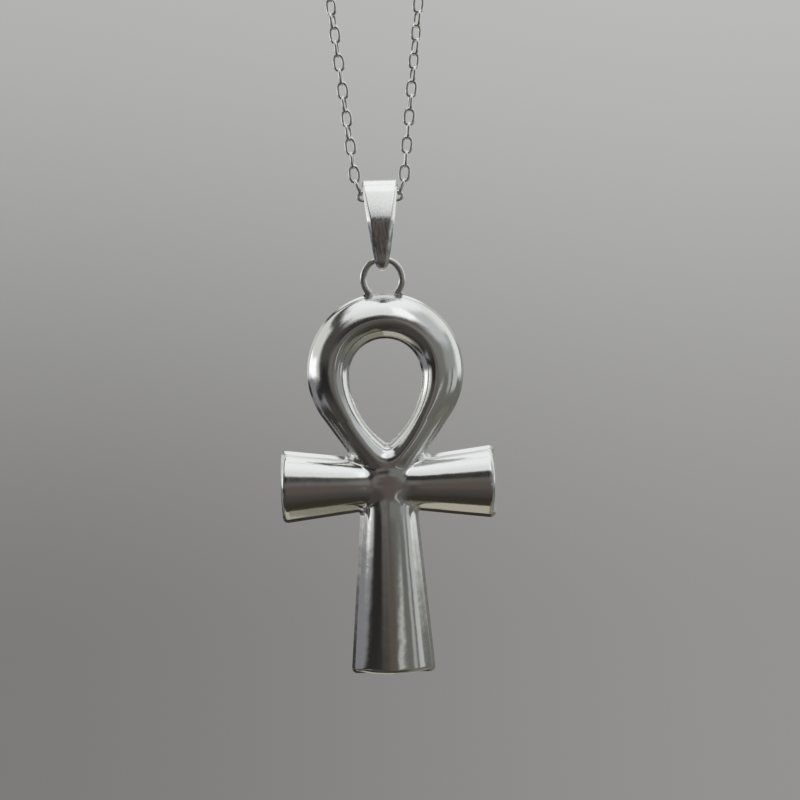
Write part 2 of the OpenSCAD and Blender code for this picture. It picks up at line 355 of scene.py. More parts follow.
def make_world():
    world = bpy.data.worlds.new("Studio")
    world.use_nodes = True
    bpy.context.scene.world = world
    nodes = Nodes(world.node_tree)
    direction = nodes.add("ShaderNodeTexCoord").outputs["Generated"]
    parts = nodes.add("ShaderNodeSeparateXYZ", {0: direction}).outputs
    toward = nodes.math("MULTIPLY", parts["Y"], -1.0)
    turn = nodes.math("DEGREES", nodes.math("ARCTAN2", parts["X"], toward))
    rise = nodes.math("DEGREES", nodes.math("ARCSINE", parts["Z"]))
    noise = nodes.noise(direction, EDGE_GRAIN, EDGE_DETAIL)
    shifts = nodes.add("ShaderNodeSeparateXYZ", {0: noise["Color"]}).outputs
    azimuth = shifted(nodes, turn, shifts["X"])
    elevation = shifted(nodes, rise, nodes.ramp(shifts["Y"], *EDGE_SMOOTHING))
    paint = paint_surroundings(nodes, azimuth, elevation)
    aside = nodes.ramp(parts["X"], -BACKDROP_SIDE, BACKDROP_SIDE)
    low = nodes.mix(aside, colour(*BACKDROP_LOW_LEFT), colour(*BACKDROP_LOW_RIGHT))
    high = nodes.mix(aside, colour(*BACKDROP_HIGH_LEFT), colour(*BACKDROP_HIGH_RIGHT))
    backdrop = nodes.mix(nodes.ramp(rise, *BACKDROP_RISE), low, high)
    lit = nodes.add("ShaderNodeBackground", {"Color": paint, "Strength": SURROUNDINGS_STRENGTH}).outputs[0]
    seen = nodes.add("ShaderNodeBackground", {"Color": backdrop, "Strength": 1.0}).outputs[0]
    camera_ray = nodes.add("ShaderNodeLightPath").outputs["Is Camera Ray"]
    shown = nodes.add("ShaderNodeMixShader", {0: camera_ray, 1: lit, 2: seen}).outputs[0]
    nodes.add("ShaderNodeOutputWorld", {"Surface": shown})


# Floor
FLOOR_R = 3000.0
FLOOR_Z = -1300.0
FLOOR_SIDES = 96
FLOOR_TONE = (0.8, 0.8, 0.79, 1)
FLOOR_ROUGHNESS = 0.9


def make_floor():
    mesh = bpy.data.meshes.new("floor")
    shape = bmesh.new()
    bmesh.ops.create_circle(shape, cap_ends=True, segments=FLOOR_SIDES, radius=FLOOR_R * MM)
    bmesh.ops.translate(shape, verts=shape.verts, vec=(0, 0, FLOOR_Z * MM))
    shape.to_mesh(mesh)
    shape.free()
    floor = bpy.data.objects.new("floor", mesh)
    bpy.context.scene.collection.objects.link(floor)
    material = bpy.data.materials.new("Pale floor")
    material.use_nodes = True
    nodes = Nodes(material.node_tree)
    inputs = {"Base Color": FLOOR_TONE, "Roughness": FLOOR_ROUGHNESS}
    shader = nodes.add("ShaderNodeBsdfPrincipled", inputs)
    nodes.add("ShaderNodeOutputMaterial", {"Surface": shader.outputs[0]})
    mesh.materials.append(material)
    floor.visible_glossy = False


# Light, in metres and watts
LIGHT_PLACE = Vector((0.6, -0.8, 1.5))
LIGHT_AIM = Vector((0, 0, -1.3))
LIGHT_SIZE = 2.0
LIGHT_POWER = 60


def make_light():
    data = bpy.data.lights.new("Soft light above", "AREA")
    data.shape = "DISK"
    data.size = LIGHT_SIZE
    data.energy = LIGHT_POWER
    light = bpy.data.objects.new("Soft light above", data)
    light.location = LIGHT_PLACE
    light.rotation_euler = (LIGHT_AIM - LIGHT_PLACE).to_track_quat("-Z", "Y").to_euler()
    light.visible_camera = False
    light.visible_glossy = False
    bpy.context.scene.collection.objects.link(light)


# Materials: scales are for each millimetre, and depths are the heights of the unevenness in millimetres
POLISHED_TONE = (0.86, 0.867, 0.87, 1)
POLISHED_ROUGHNESS = 0.11
BRUSHED_TONE = (0.95, 0.955, 0.96, 1)
BRUSHED_ROUGHNESS = 0.2
CHAIN_TONE = (0.9, 0.905, 0.905, 1)
CHAIN_ROUGHNESS = 0.16

# Wide, soft waves and a fine grain. The grain also varies the roughness, from a low to a high share of it
WAVE_SCALE = 0.3
WAVE_DETAIL = 2.0
WAVE_DEPTH = 0.035
BRUSHED_WAVE_DEPTH = 0.01
GRAIN_SCALE = 4.0
GRAIN_DETAIL = 4.0
GRAIN_DEPTH = 0.0015
GRAIN_RANGE = (0.35, 0.75)
ROUGHNESS_SHARES = (0.8, 1.4)

# Tarnish sits in the grain. Matt zones have faint brush lines
TARNISH_TONE = (0.2, 0.17, 0.14, 1)
TARNISH_ROUGHNESS = 0.25
TARNISH_RANGE = (0.25, 0.6)
MATT_SCALE = 5.0
MATT_DETAIL = 4.0
MATT_DEPTH = 0.006

# Brush lines are a noise that is drawn out upward
BRUSH_STRETCH = (1, 1, 0.05)
BRUSH_SCALE = 3.5
BRUSH_DETAIL = 5.0
BRUSH_DEPTH = 0.002
# The bail's lower panel carries a painted dark reflection, streaked along the brush lines, from a ragged edge
# down to where the strip bends
DARK_REFLECTION_TONE = (0.43, 0.47, 0.49, 1)
DARK_REFLECTION_RANGE = (0.35, 0.65)
DARK_REFLECTION_SHARES = (0.1, 0.9)
RAGGED_H = 1.6
PANEL_EDGE_SOFT = 0.3
BEND_SOFT = 0.9
# The lean that the upper panel's finish adds
PANEL_LEAN = 0.17


def brush_lines(nodes, millimetres, scale, detail):
    stretch = {0: millimetres, 1: BRUSH_STRETCH}
    across = nodes.add("ShaderNodeVectorMath", stretch, operation="MULTIPLY").outputs[0]
    return nodes.noise(across, scale, detail)[0]


def tarnished(nodes, millimetres, grain, height, dull, base):
    """Height, roughness and tone, with tarnish and matt zones where the mesh's attributes say so."""
    dirt = nodes.add("ShaderNodeAttribute", attribute_name="tarnish").outputs["Fac"]
    patch = nodes.math("MULTIPLY", dirt, nodes.ramp(grain, *TARNISH_RANGE), clamp=True)
    matt = nodes.add("ShaderNodeAttribute", attribute_name="matt").outputs["Fac"]
    brush = brush_lines(nodes, millimetres, MATT_SCALE, MATT_DETAIL)
    height = nodes.math("MULTIPLY_ADD", nodes.math("MULTIPLY", brush, matt), MATT_DEPTH, c=height)
    more = nodes.math("MULTIPLY", patch, TARNISH_ROUGHNESS)
    dull = nodes.math("ADD", nodes.math("MAXIMUM", dull, matt), more)
    return height, dull, nodes.mix(patch, base, TARNISH_TONE)


def panel_lean_and_painted_reflection(nodes, millimetres, height, base):
    """Height and tone of the bail's brushed strip, whose upper panel leans back from an edge, and whose lower
    panel carries a painted dark reflection, streaked, under a ragged edge.
    """
    brush = brush_lines(nodes, millimetres, BRUSH_SCALE, BRUSH_DETAIL)
    up = nodes.add("ShaderNodeSeparateXYZ", {0: millimetres}).outputs["Z"]
    ragged = nodes.math("MULTIPLY_ADD", nodes.math("SUBTRACT", brush, 0.5), RAGGED_H, c=up)
    edge = BAIL_Z + PANEL_LOW
    bend = BAIL_Z - BAIL_AXIS_GAP
    most = PANEL_LEAN * (PANEL_TOP - PANEL_LOW)
    lean = nodes.ramp(up, edge, BAIL_Z + PANEL_TOP, most, 0.0, kind="LINEAR")
    height = nodes.math("ADD", lean, nodes.math("MULTIPLY_ADD", brush, BRUSH_DEPTH, c=height))
    under_edge = nodes.ramp(ragged, edge, edge + PANEL_EDGE_SOFT, 1.0, 0.0)
    over_bend = nodes.ramp(ragged, bend, bend + BEND_SOFT)
    lower = nodes.math("MULTIPLY", under_edge, over_bend)
    # The lower panel's darker streaks are a painted dark reflection, not the metal's own tone
    painted_reflection = nodes.math("MULTIPLY", nodes.ramp(brush, *DARK_REFLECTION_RANGE, *DARK_REFLECTION_SHARES), lower)
    return height, nodes.mix(painted_reflection, base, DARK_REFLECTION_TONE)


def make_silver(name, tone, roughness, wave_depth=WAVE_DEPTH, tarnish=False, panel=False):
    """Silver with faint unevenness, and with tarnish, or the bail's panels with the painted dark reflection
    on the lower one, where they are asked for.
    """
    material = bpy.data.materials.new(name)
    material.use_nodes = True
    nodes = Nodes(material.node_tree)
    place = nodes.add("ShaderNodeTexCoord").outputs["Object"]
    per_metre = (1 / MM, 1 / MM, 1 / MM)
    millimetres = nodes.add("ShaderNodeMapping", {"Vector": place, "Scale": per_metre}).outputs[0]
    wave = nodes.noise(millimetres, WAVE_SCALE, WAVE_DETAIL)[0]
    grain = nodes.noise(millimetres, GRAIN_SCALE, GRAIN_DETAIL)[0]
    height = nodes.math("MULTIPLY_ADD", grain, GRAIN_DEPTH, c=nodes.math("MULTIPLY", wave, wave_depth))
    low, high = ROUGHNESS_SHARES
    dull = nodes.ramp(grain, *GRAIN_RANGE, roughness * low, roughness * high)
    if tarnish:
        height, dull, tone = tarnished(nodes, millimetres, grain, height, dull, tone)
    if panel:
        height, tone = panel_lean_and_painted_reflection(nodes, millimetres, height, tone)
    bump = nodes.add("ShaderNodeBump", {"Height": height, "Strength": 1.0, "Distance": MM})
    inputs = {"Base Color": tone, "Metallic": 1.0, "Roughness": dull, "Normal": bump.outputs[0]}
    shader = nodes.add("ShaderNodeBsdfPrincipled", inputs)
    nodes.add("ShaderNodeOutputMaterial", {"Surface": shader.outputs[0]})
    return material


# Mesh helpers
def new_object(name, points, faces):
    mesh = bpy.data.meshes.new(name)
    mesh.from_pydata([tuple(p) for p in points], [], [tuple(f) for f in faces])
    mesh.validate()
    piece = bpy.data.objects.new(name, mesh)
    bpy.context.scene.collection.objects.link(piece)
    return piece


def apply_modifiers(piece):
    """Keeps the evaluated mesh and drops the modifiers."""
    depsgraph = bpy.context.evaluated_depsgraph_get()
    made = bpy.data.meshes.new_from_object(piece.evaluated_get(depsgraph))
    piece.modifiers.clear()
    old = piece.data
    piece.data = made
    bpy.data.meshes.remove(old)


def unite(piece, other):
    """Joins the other object to the piece as one closed body."""
    modifier = piece.modifiers.new("Join", "BOOLEAN")
    modifier.operation = "UNION"
    modifier.solver = "MANIFOLD"
    modifier.object = other
    apply_modifiers(piece)
    bpy.data.objects.remove(other)


def face_outward(piece):
    """Turns the faces of a closed piece outward."""
    shape = bmesh.new()
    shape.from_mesh(piece.data)
    bmesh.ops.recalc_face_normals(shape, faces=shape.faces)
    shape.to_mesh(piece.data)
    shape.free()


def finish_piece(name, piece, material, sharp):
    """Turns millimetres into metres, and sets the material and the angle in degrees that stays sharp."""
    mesh = piece.data
    mesh.transform(Matrix.Scale(MM, 4))
    mesh.name = name
    piece.name = name
    mesh.shade_smooth()
    mesh.set_sharp_from_angle(angle=math.radians(sharp))
    mesh.materials.clear()
    mesh.materials.append(material)
    mesh.update()


def tube_faces(rows, sides, closed):
    """Faces between rows of points, each of which is a ring with this many sides."""
    faces = []
    for row in range(rows if closed else rows - 1):
        after = (row + 1) % rows
        for i in range(sides):
            j = (i + 1) % sides
            faces.append((row * sides + i, row * sides + j, after * sides + j, after * sides + i))
    return faces


def sweep(path, sides, radius, closed=False):
    """Points and faces of a round tube along [place, first axis, second axis] rows."""
    points = []
    for place, u, v in path:
        for i in range(sides):
            a = 2 * math.pi * i / sides
            out = math.cos(a) * np.array(u) + math.sin(a) * np.array(v)
            points.append(np.array(place) + radius * out)
    rows = len(path)
    faces = tube_faces(rows, sides, closed)
    if not closed:
        faces.append(tuple(reversed(range(sides))))
        faces.append(tuple(range((rows - 1) * sides, rows * sides)))
    return points, faces


# The cross's outline
OUTLINE_STEP = 0.08
# Steps of each corner, and points of each arc before the outline is spaced evenly
CORNER_STEPS = 6
LOOP_POINTS = 200
HOLE_TOP_POINTS = 60
HOLE_SIDE_POINTS = 120
HOLE_TIP_POINTS = 12


def unit(v):
    return v / np.linalg.norm(v)


def rounded(rows):
    """An open line of points from [x, y, corner radius] rows."""
    points = [np.array(rows[0][:2])]
    for before, here, after in zip(rows, rows[1:], rows[2:]):
        b = np.array(here[:2])
        u = unit(np.array(before[:2]) - b)
        v = unit(np.array(after[:2]) - b)
        half = math.acos(np.clip(u @ v, -1, 1)) / 2
        middle = b + unit(u + v) * here[2] / math.sin(half)
        start = b + u * here[2] / math.tan(half) - middle
        end = b + v * here[2] / math.tan(half) - middle
        angle = math.atan2(start[1], start[0])
        turn = math.atan2(start[0] * end[1] - start[1] * end[0], start @ end)
        for i in range(CORNER_STEPS + 1):
            a = angle + turn * i / CORNER_STEPS
            points.append(middle + here[2] * np.array([math.cos(a), math.sin(a)]))
    points.append(np.array(rows[-1][:2]))
    return np.array(points)


def resample(points, step):
    """The same line with points spaced evenly, about a step apart."""
    run = np.concatenate([[0], np.cumsum(np.linalg.norm(np.diff(points, axis=0), axis=1))])
    count = max(2, int(round(run[-1] / step)) + 1)
    at = np.linspace(0, run[-1], count)
    return np.stack([np.interp(at, run, points[:, i]) for i in (0, 1)], axis=1)


def closed_by_mirror(right):
    """A closed line, spaced evenly, from its right half, whose ends lie on the middle line."""
    right = resample(right, OUTLINE_STEP)
    left = right[-2:0:-1] * [-1, 1]
    return np.concatenate([right, left])


def arc(x, y, radius, start, end, count):
    turns = np.linspace(start, end, count)
    return np.stack([x + radius * np.cos(turns), y + radius * np.sin(turns)], axis=1)


def cross_outline():
    top = arc(0, 0, LOOP_R, math.pi / 2, -LOOP_TAPER, LOOP_POINTS)
    arm_rise = (ARM_END_H - ARM_ROOT_H) / ARM_SPAN
    stem_run = (STEM_END_W - STEM_ROOT_W) / 2 / (ARM_Y - FOOT_Y)
    # Where the loop's straight side meets the arm's top edge
    side_y = ARM_Y + ARM_ROOT_H / 2
    loop_arm_x = (LOOP_R + side_y * math.sin(LOOP_TAPER)) / (
        math.cos(LOOP_TAPER) - arm_rise * math.sin(LOOP_TAPER))
    loop_arm_y = side_y + arm_rise * loop_arm_x
    # Where the arm's lower edge meets the stem's side
    stem_arm_x = (STEM_ROOT_W / 2 + stem_run * ARM_ROOT_H / 2) / (1 - stem_run * arm_rise)
    stem_arm_y = ARM_Y - ARM_ROOT_H / 2 - arm_rise * stem_arm_x
    end_x = ARM_SPAN / 2 - END_BULGE
    bulge_r = ((ARM_END_H / 2) ** 2 + END_BULGE**2) / (2 * END_BULGE)
    rows = [
        (top[-1][0], top[-1][1], 0),
        (loop_arm_x, loop_arm_y, LOOP_CORNER_R),
        (end_x, ARM_Y + ARM_END_H / 2, CORNER_R),
        (ARM_SPAN / 2, ARM_Y, bulge_r),
        (end_x, ARM_Y - ARM_END_H / 2, CORNER_R),
        (stem_arm_x, stem_arm_y, STEM_CORNER_R),
        (STEM_END_W / 2, FOOT_Y, CORNER_R),
        (0, FOOT_Y, 0),
    ]
    return closed_by_mirror(np.concatenate([top[:-1], rounded(rows)]))


# The teardrop hole is one with a sharp tip, grown by the tip's radius: this is the one before it is grown
SHARP_R = HOLE_R - HOLE_TIP_R
SHARP_TIP_Y = HOLE_TIP_Y + HOLE_TIP_R
SIDE_R = (SHARP_R**2 + (HOLE_Y - SHARP_TIP_Y) ** 2) / (2 * SHARP_R)
SIDE_X = SHARP_R - SIDE_R
SIDE_TURN = math.atan2(HOLE_Y - SHARP_TIP_Y, -SIDE_X)


def hole_outline():
    top = arc(0, HOLE_Y, HOLE_R, math.pi / 2, 0, HOLE_TOP_POINTS)
    side = arc(SIDE_X, HOLE_Y, SIDE_R + HOLE_TIP_R, 0, -SIDE_TURN, HOLE_SIDE_POINTS)
    tip = arc(0, SHARP_TIP_Y, HOLE_TIP_R, -SIDE_TURN, -math.pi / 2, HOLE_TIP_POINTS)
    return closed_by_mirror(np.concatenate([top, side[1:], tip[1:]]))


# The cross's relief, as heights over its rim
def smooth_max(a, b, soft):
    share = np.clip(0.5 + 0.5 * (a - b) / soft, 0, 1)
    return b + (a - b) * share + soft * share * (1 - share)


def smooth_min(a, b, soft):
    return -smooth_max(-a, -b, soft)


def melted(a, b, soft):
    """The higher of two heights, with no visible end to the blend between them."""
    rate = 4 * math.log(2) / soft
    return np.logaddexp(rate * a, rate * b) / rate


def rim_width(y):
    share = np.clip((y - RIM_LOW) / (RIM_HIGH - RIM_LOW), 0, 1)
    return RIM_W + (LOOP_RIM_W - RIM_W) * share**2 * (3 - 2 * share)


def hole_distance(x, y):
    """Distance out of the hole."""
    x = np.abs(x)
    top = np.hypot(x, y - HOLE_Y) - SHARP_R
    side = np.hypot(x - SIDE_X, y - HOLE_Y) - SIDE_R
    tip = np.hypot(x, y - SHARP_TIP_Y)
    past = np.arctan2(HOLE_Y - y, x - SIDE_X) > SIDE_TURN
    low = np.where(past & (side > 0), tip, side)
    return np.where(y >= HOLE_Y, top, low) - HOLE_TIP_R


def loop_distance(x, y):
    """Distance in from the loop's outer edge and its straight sides, which meet softly on the middle line."""
    x = np.abs(x)
    soft = np.where(x < LOOP_FOLD, (x**2 + LOOP_FOLD**2) / (2 * LOOP_FOLD), x)
    line = LOOP_R - (soft * math.cos(LOOP_TAPER) - y * math.sin(LOOP_TAPER))
    circle = LOOP_R - np.hypot(x, y)
    return np.where(np.arctan2(-y, x) > LOOP_TAPER, line, circle)


def flank(across, width, rise, tilt):
    """The height of an arc that leaves the ridge with a tilt and comes down to the foot, a width away."""
    inside = np.minimum(across, width)
    r = (width**2 + rise**2) / (2 * (rise * math.cos(tilt) - width * math.sin(tilt)))
    height = rise - r * math.cos(tilt) + np.sqrt(np.maximum(r**2 - (inside + r * math.sin(tilt)) ** 2, 0))
    return height - FOOT_SLOPE * (across - inside)


def loop_dome(x, y):
    inner = hole_distance(x, y) - rim_width(y)
    outer = loop_distance(x, y) - rim_width(y)
    wide = np.maximum(inner + outer, LEAST_BAND)
    low = np.clip((HOLE_TIP_Y + POINT_REACH - y) / (2 * POINT_REACH), 0, 1)
    share = RIDGE_SHARE + (RIDGE_SHARE_LOW - RIDGE_SHARE) * low
    across = inner - wide * share
    # The blend takes a quarter of its height off the ridge, which is added here
    rise = LOOP_DOME_H + RIDGE_BLEND / 4 + POINT_RISE * low
    outside = flank(across, wide * (1 - share), rise, OUTER_TILT)
    inside = flank(-across, wide * share, rise, INNER_TILT)
    fade = np.maximum(ARM_Y + LOOP_FADE - y, 0) ** 2 / 2
    return smooth_min(outside, inside, RIDGE_BLEND) - fade


def arm_dome(x, y):
    along = np.sqrt(x**2 + ARM_FOLD) / (ARM_SPAN / 2)
    half = (ARM_ROOT_H + (ARM_END_H - ARM_ROOT_H) * along) / 2 - rim_width(y)
    rise = ROOT_DOME_H + (ARM_END_DOME_H - ROOT_DOME_H) * along**ARM_FLARE
    return flank(np.abs(y - ARM_Y), half, rise, 0.0)


def stem_dome(x, y):
    along = np.maximum((ARM_Y - y) / (ARM_Y - FOOT_Y), 0)
    half = (STEM_ROOT_W + (STEM_END_W - STEM_ROOT_W) * along) / 2 - RIM_W
    rise = ROOT_DOME_H + (STEM_END_DOME_H - ROOT_DOME_H) * along**STEM_FLARE
    fade = np.maximum(y - ARM_Y - STEM_FADE, 0) ** 2 / 2
    return flank(np.abs(x), half, rise, 0.0) - fade


def end_fall(x, y):
    """How far the domes have come down near the ends of the arms and the foot."""
    bulge = END_BULGE * (1 - np.clip(2 * np.abs(y - ARM_Y) / ARM_END_H, 0, 1) ** 2)
    arm = ARM_SPAN / 2 - END_BULGE + bulge - np.abs(x)
    into = np.minimum(arm, y - FOOT_Y) - RIM_W
    inside = np.clip(into, 0, END_ROUND)
    rounding = END_ROUND - np.sqrt(END_ROUND**2 - (END_ROUND - inside) ** 2)
    return rounding + END_SLOPE * np.maximum(-into, 0)


def dome_heights(x, y):
    near = np.exp(-(x**2 + (y - ARM_Y) ** 2) / MIDDLE_R**2)
    soft = CORNER_BLEND + (MIDDLE_BLEND - CORNER_BLEND) * near
    bars = melted(arm_dome(x, y), stem_dome(x, y), soft)
    return melted(bars, loop_dome(x, y), soft) - MIDDLE_DROP * near**2 - end_fall(x, y)


def front_heights(x, y, edge):
    """Height over the flat back, a distance in from the edge: a bevelled rim, then domes and valleys."""
    into = edge - rim_width(y)
    rim = RIM_SLOPE * np.minimum(into, 0)
    valley = VALLEY_H * (1 - np.exp(-VALLEY_RATE * into))
    relief = smooth_max(valley, dome_heights(x, y), VALLEY_BLEND) - VALLEY_BLEND / 4
    return RIM_H + np.maximum(rim, relief)


# The cross's mesh
# Rows of points along the edges, as shares of the rim's width and millimetres past them
ROWS = [(0.2, 0), (0.5, 0), (0.85, 0), (1, -0.02), (1, 0), (1, 0.02), (1, 0.06), (1, 0.11), (1, 0.17)]
ROWS += [(1, 0.24), (1, 0.32), (1, 0.42), (1, 0.54), (1, 0.67)]
# The rim's width changes on the way in, so a row finds its place in a few passes
ROW_PASSES = 3
ROW_SLACK = 0.01
GRID_STEP = 0.16
FIRST_GRID_ROW = 1.24
TREE_STEP = 0.02
SAME_POINT = 1e-7
BACK_EDGE_ROWS = 5


def inward_normals(points):
    along = np.roll(points, -1, axis=0) - np.roll(points, 1, axis=0)
    across = np.stack([along[:, 1], -along[:, 0]], axis=1)
    return across / np.linalg.norm(across, axis=1, keepdims=True)


def edge_tree(lines):
    fine = []
    for line in lines:
        ring = np.concatenate([line, line[:1]])
        fine.append(resample(ring, TREE_STEP))
    fine = np.concatenate(fine)
    tree = KDTree(len(fine))
    for i, p in enumerate(fine):
        tree.insert((p[0], p[1], 0), i)
    tree.balance()
    return tree


def edge_distances(tree, points):
    return np.array([tree.find((p[0], p[1], 0))[2] for p in points])


def inside_cross(x, y):
    """True where the point lies inside the outline and outside the hole."""
    across = np.abs(x)
    side = across * math.cos(LOOP_TAPER) - y * math.sin(LOOP_TAPER) < LOOP_R
    loop = (np.hypot(x, y) < LOOP_R) | (side & (y < -LOOP_R * math.sin(LOOP_TAPER)) & (y > ARM_Y))
    half_arm = (ARM_ROOT_H + (ARM_END_H - ARM_ROOT_H) * across / (ARM_SPAN / 2)) / 2
    arm = (across < ARM_SPAN / 2) & (np.abs(y - ARM_Y) < half_arm)
    share = (ARM_Y - y) / (ARM_Y - FOOT_Y)
    stem = (share > 0) & (share < 1) & (across < (STEM_ROOT_W + (STEM_END_W - STEM_ROOT_W) * share) / 2)
    return (loop | arm | stem) & (hole_distance(x, y) > 0)


def edge_rows(lines, normals, tree):
    """Rows of points along the edges, without those that another edge is nearer to."""
    rows = []
    for share, past in ROWS:
        for line, normal in zip(lines, normals):
            moved = line
            for _ in range(ROW_PASSES):
                row = share * rim_width(moved[:, 1]) + past
                moved = line + normal * row[:, None]
            rows.append(moved[edge_distances(tree, moved) > row - ROW_SLACK])
    return rows


def grid_points(tree):
    """A grid of even triangles inside the cross, clear of the rows along its edges."""
    across = np.arange(-ARM_SPAN / 2, ARM_SPAN / 2, GRID_STEP)
    up = np.arange(FOOT_Y, LOOP_R, GRID_STEP * math.sqrt(0.75))
    grid_x, grid_y = np.meshgrid(across, up)
    grid_x[1::2] += GRID_STEP / 2
    grid = np.stack([grid_x.ravel(), grid_y.ravel()], axis=1)
    grid = grid[inside_cross(grid[:, 0], grid[:, 1])]
    return grid[edge_distances(tree, grid) > FIRST_GRID_ROW]


def fill(lines, inner):
    """The points and triangles of the face between the outer line and the hole's, through inner points."""
    points = np.concatenate([*lines, inner])
    edges = []
    start = 0
    for line in lines:
        count = len(line)
        edges += [(start + i, start + (i + 1) % count) for i in range(count)]
        start += count
    # 1 keeps the triangles inside the outer line
    made = delaunay_2d_cdt([Vector(p) for p in points], edges, [], 1, SAME_POINT)
    faces = np.array(made[2])
    in_hole = ((faces >= len(lines[0])) & (faces < start)).all(axis=1)
    return np.array([tuple(v) for v in made[0]]), faces[~in_hole]


def make_cross_mesh():
    outer = cross_outline()
    hole = hole_outline()
    lines = [outer, hole]
    normals = [inward_normals(outer), -inward_normals(hole)]
    tree = edge_tree(lines)
    inner = edge_rows(lines, normals, tree) + [grid_points(tree)]
    places, front = fill(lines, np.concatenate(inner))
    edge = edge_distances(tree, places)
    edge[: len(outer) + len(hole)] = 0
    heights = front_heights(places[:, 0], places[:, 1], edge)
    points = [np.column_stack([places, heights])]
    faces = [front]
    count = len(places)
    back_lines = []
    back_ids = []
    start = 0
    for line, normal in zip(lines, normals):
        ids = np.arange(start, start + len(line))
        start += len(line)
        for degrees in np.linspace(0, 90, BACK_EDGE_ROWS):
            inset = BACK_EDGE_R * (1 - math.cos(math.radians(degrees)))
            height = BACK_EDGE_R * (1 - math.sin(math.radians(degrees)))
            ring = line + normal * inset
            points.append(np.column_stack([ring, np.full(len(ring), height)]))
            new = np.arange(count, count + len(ring))
            count += len(ring)
            faces.append(np.column_stack([ids, np.roll(ids, -1), np.roll(new, -1)]))
            faces.append(np.column_stack([ids, np.roll(new, -1), new]))
            ids = new
        back_lines.append(ring)
        back_ids.append(ids)
    _, back = fill(back_lines, np.zeros((0, 2)))
    faces.append(np.concatenate(back_ids)[back])
    cross = new_object("ankh_dressed", np.concatenate(points), np.concatenate(faces))
    face_outward(cross)
    return cross


# The ring's mesh: it is melted together with its solder on a grid, and smoothed
RING_STEPS = 72
RING_SIDES = 24
SOLDER_SEGMENTS = 24
SOLDER_RINGS = 16
MELT_STEP = 0.1
SMOOTH_SHARE = 0.5
SMOOTH_PASSES = 3


def make_ring():
    """The ring, open where it meets the loop, with a lump of solder at each end."""
    path = []
    for i in range(RING_STEPS + 1):
        a = -math.pi / 2 + RING_OPEN + (2 * math.pi - 2 * RING_OPEN) * i / RING_STEPS
        out = np.array([math.cos(a), math.sin(a), 0])
        back = RING_LEAN * (1 - out[1]) / 2
        path.append((np.array([0, RING_Y, RING_BACK - back]) + RING_R * out, out, (0, 0, 1)))
    ring = new_object("ring_body", *sweep(path, RING_SIDES, RING_WIRE / 2))
    shape = bmesh.new()
    shape.from_mesh(ring.data)
    for side in (-1, 1):
        for x, y, z, wide, high, deep in SOLDER:
            place = Matrix.Translation((side * x, y, z)) @ Matrix.Diagonal((wide, high, deep, 1))
            bmesh.ops.create_uvsphere(
                shape, u_segments=SOLDER_SEGMENTS, v_segments=SOLDER_RINGS, radius=1, matrix=place)
    shape.to_mesh(ring.data)
    shape.free()
    face_outward(ring)
    melt = ring.modifiers.new("Blend", "REMESH")
    melt.mode = "VOXEL"
    melt.voxel_size = MELT_STEP
    smooth = ring.modifiers.new("Smooth", "SMOOTH")
    smooth.factor = SMOOTH_SHARE
    smooth.iterations = SMOOTH_PASSES
    apply_modifiers(ring)
    return ring


# The ankh
ANKH_SHARP = 27
# Zones as a middle and a reach across, the same on both sides, and a middle and a reach up
FOOT_ZONE = (2.2, 0.5, LOOP_R + 0.1, 0.35)
SOLDERED_ZONE = (0, 3.2, LOOP_R - 0.4, 0.8)
CORNER_ZONE = (5.0, 1.5, -10.2, 2.4)
# The groove round the hole and the ring's feet are tarnished to these shares
GROOVE_TARNISH = 0.5
GROOVE_REACH = 0.12
FOOT_TARNISH = 0.3
# Matt zones and their roughness. The ring's starts over the loop and the back's behind the sides
RING_ROUGHNESS = 0.2
SOLDERED_ROUGHNESS = 0.4
BACK_ROUGHNESS = 0.2
CORNER_ROUGHNESS = 0.3
RING_ZONE_RISE = 0.4
BACK_ZONE_DEPTH = 0.12


def zone(x, y, place, power=2):
    """1 in the middle of a zone, and less farther from it."""
    middle_x, reach_x, middle_y, reach_y = place
    return np.exp(-((y - middle_y) / reach_y) ** 2 - ((np.abs(x) - middle_x) / reach_x) ** power)


def set_attribute(mesh, name, values):
    attribute = mesh.attributes.new(name, "FLOAT", "POINT")
    attribute.data.foreach_set("value", values.astype(np.float32))


def mark_finish(mesh):
    """Marks the tarnish and the matt zones of the cross in its own flat frame."""
    places = np.empty(len(mesh.vertices) * 3)
    mesh.vertices.foreach_get("co", places)
    x, y, z = places.reshape(-1, 3).T
    groove = np.exp(-((hole_distance(x, y) - LOOP_RIM_W) / GROOVE_REACH) ** 2)
    dirt = GROOVE_TARNISH * groove + FOOT_TARNISH * zone(x, y, FOOT_ZONE)
    set_attribute(mesh, "tarnish", np.clip(dirt, 0, 1))
    matt = [
        RING_ROUGHNESS * np.clip((y - LOOP_R) / RING_ZONE_RISE, 0, 1),
        SOLDERED_ROUGHNESS * zone(x, y, SOLDERED_ZONE, 4),
        BACK_ROUGHNESS * np.clip(1 - z / BACK_ZONE_DEPTH, 0, 1),
        CORNER_ROUGHNESS * zone(x, y, CORNER_ZONE),
    ]
    set_attribute(mesh, "matt", np.maximum.reduce(matt))


def make_ankh(material):
    cross = make_cross_mesh()
    unite(cross, make_ring())
    mark_finish(cross.data)
    cross.data.transform(Matrix(((1, 0, 0, 0), (0, 0, -1, BACK_Y), (0, 1, 0, LOOP_Z), (0, 0, 0, 1))))
    finish_piece("ankh_dressed", cross, material, ANKH_SHARP)
    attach(cross, "cross")
    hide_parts("ankh")


# The bail
BAIL_SHARP = 50
BAIL_STEPS = 20
LEAST_HALF_W = 0.02
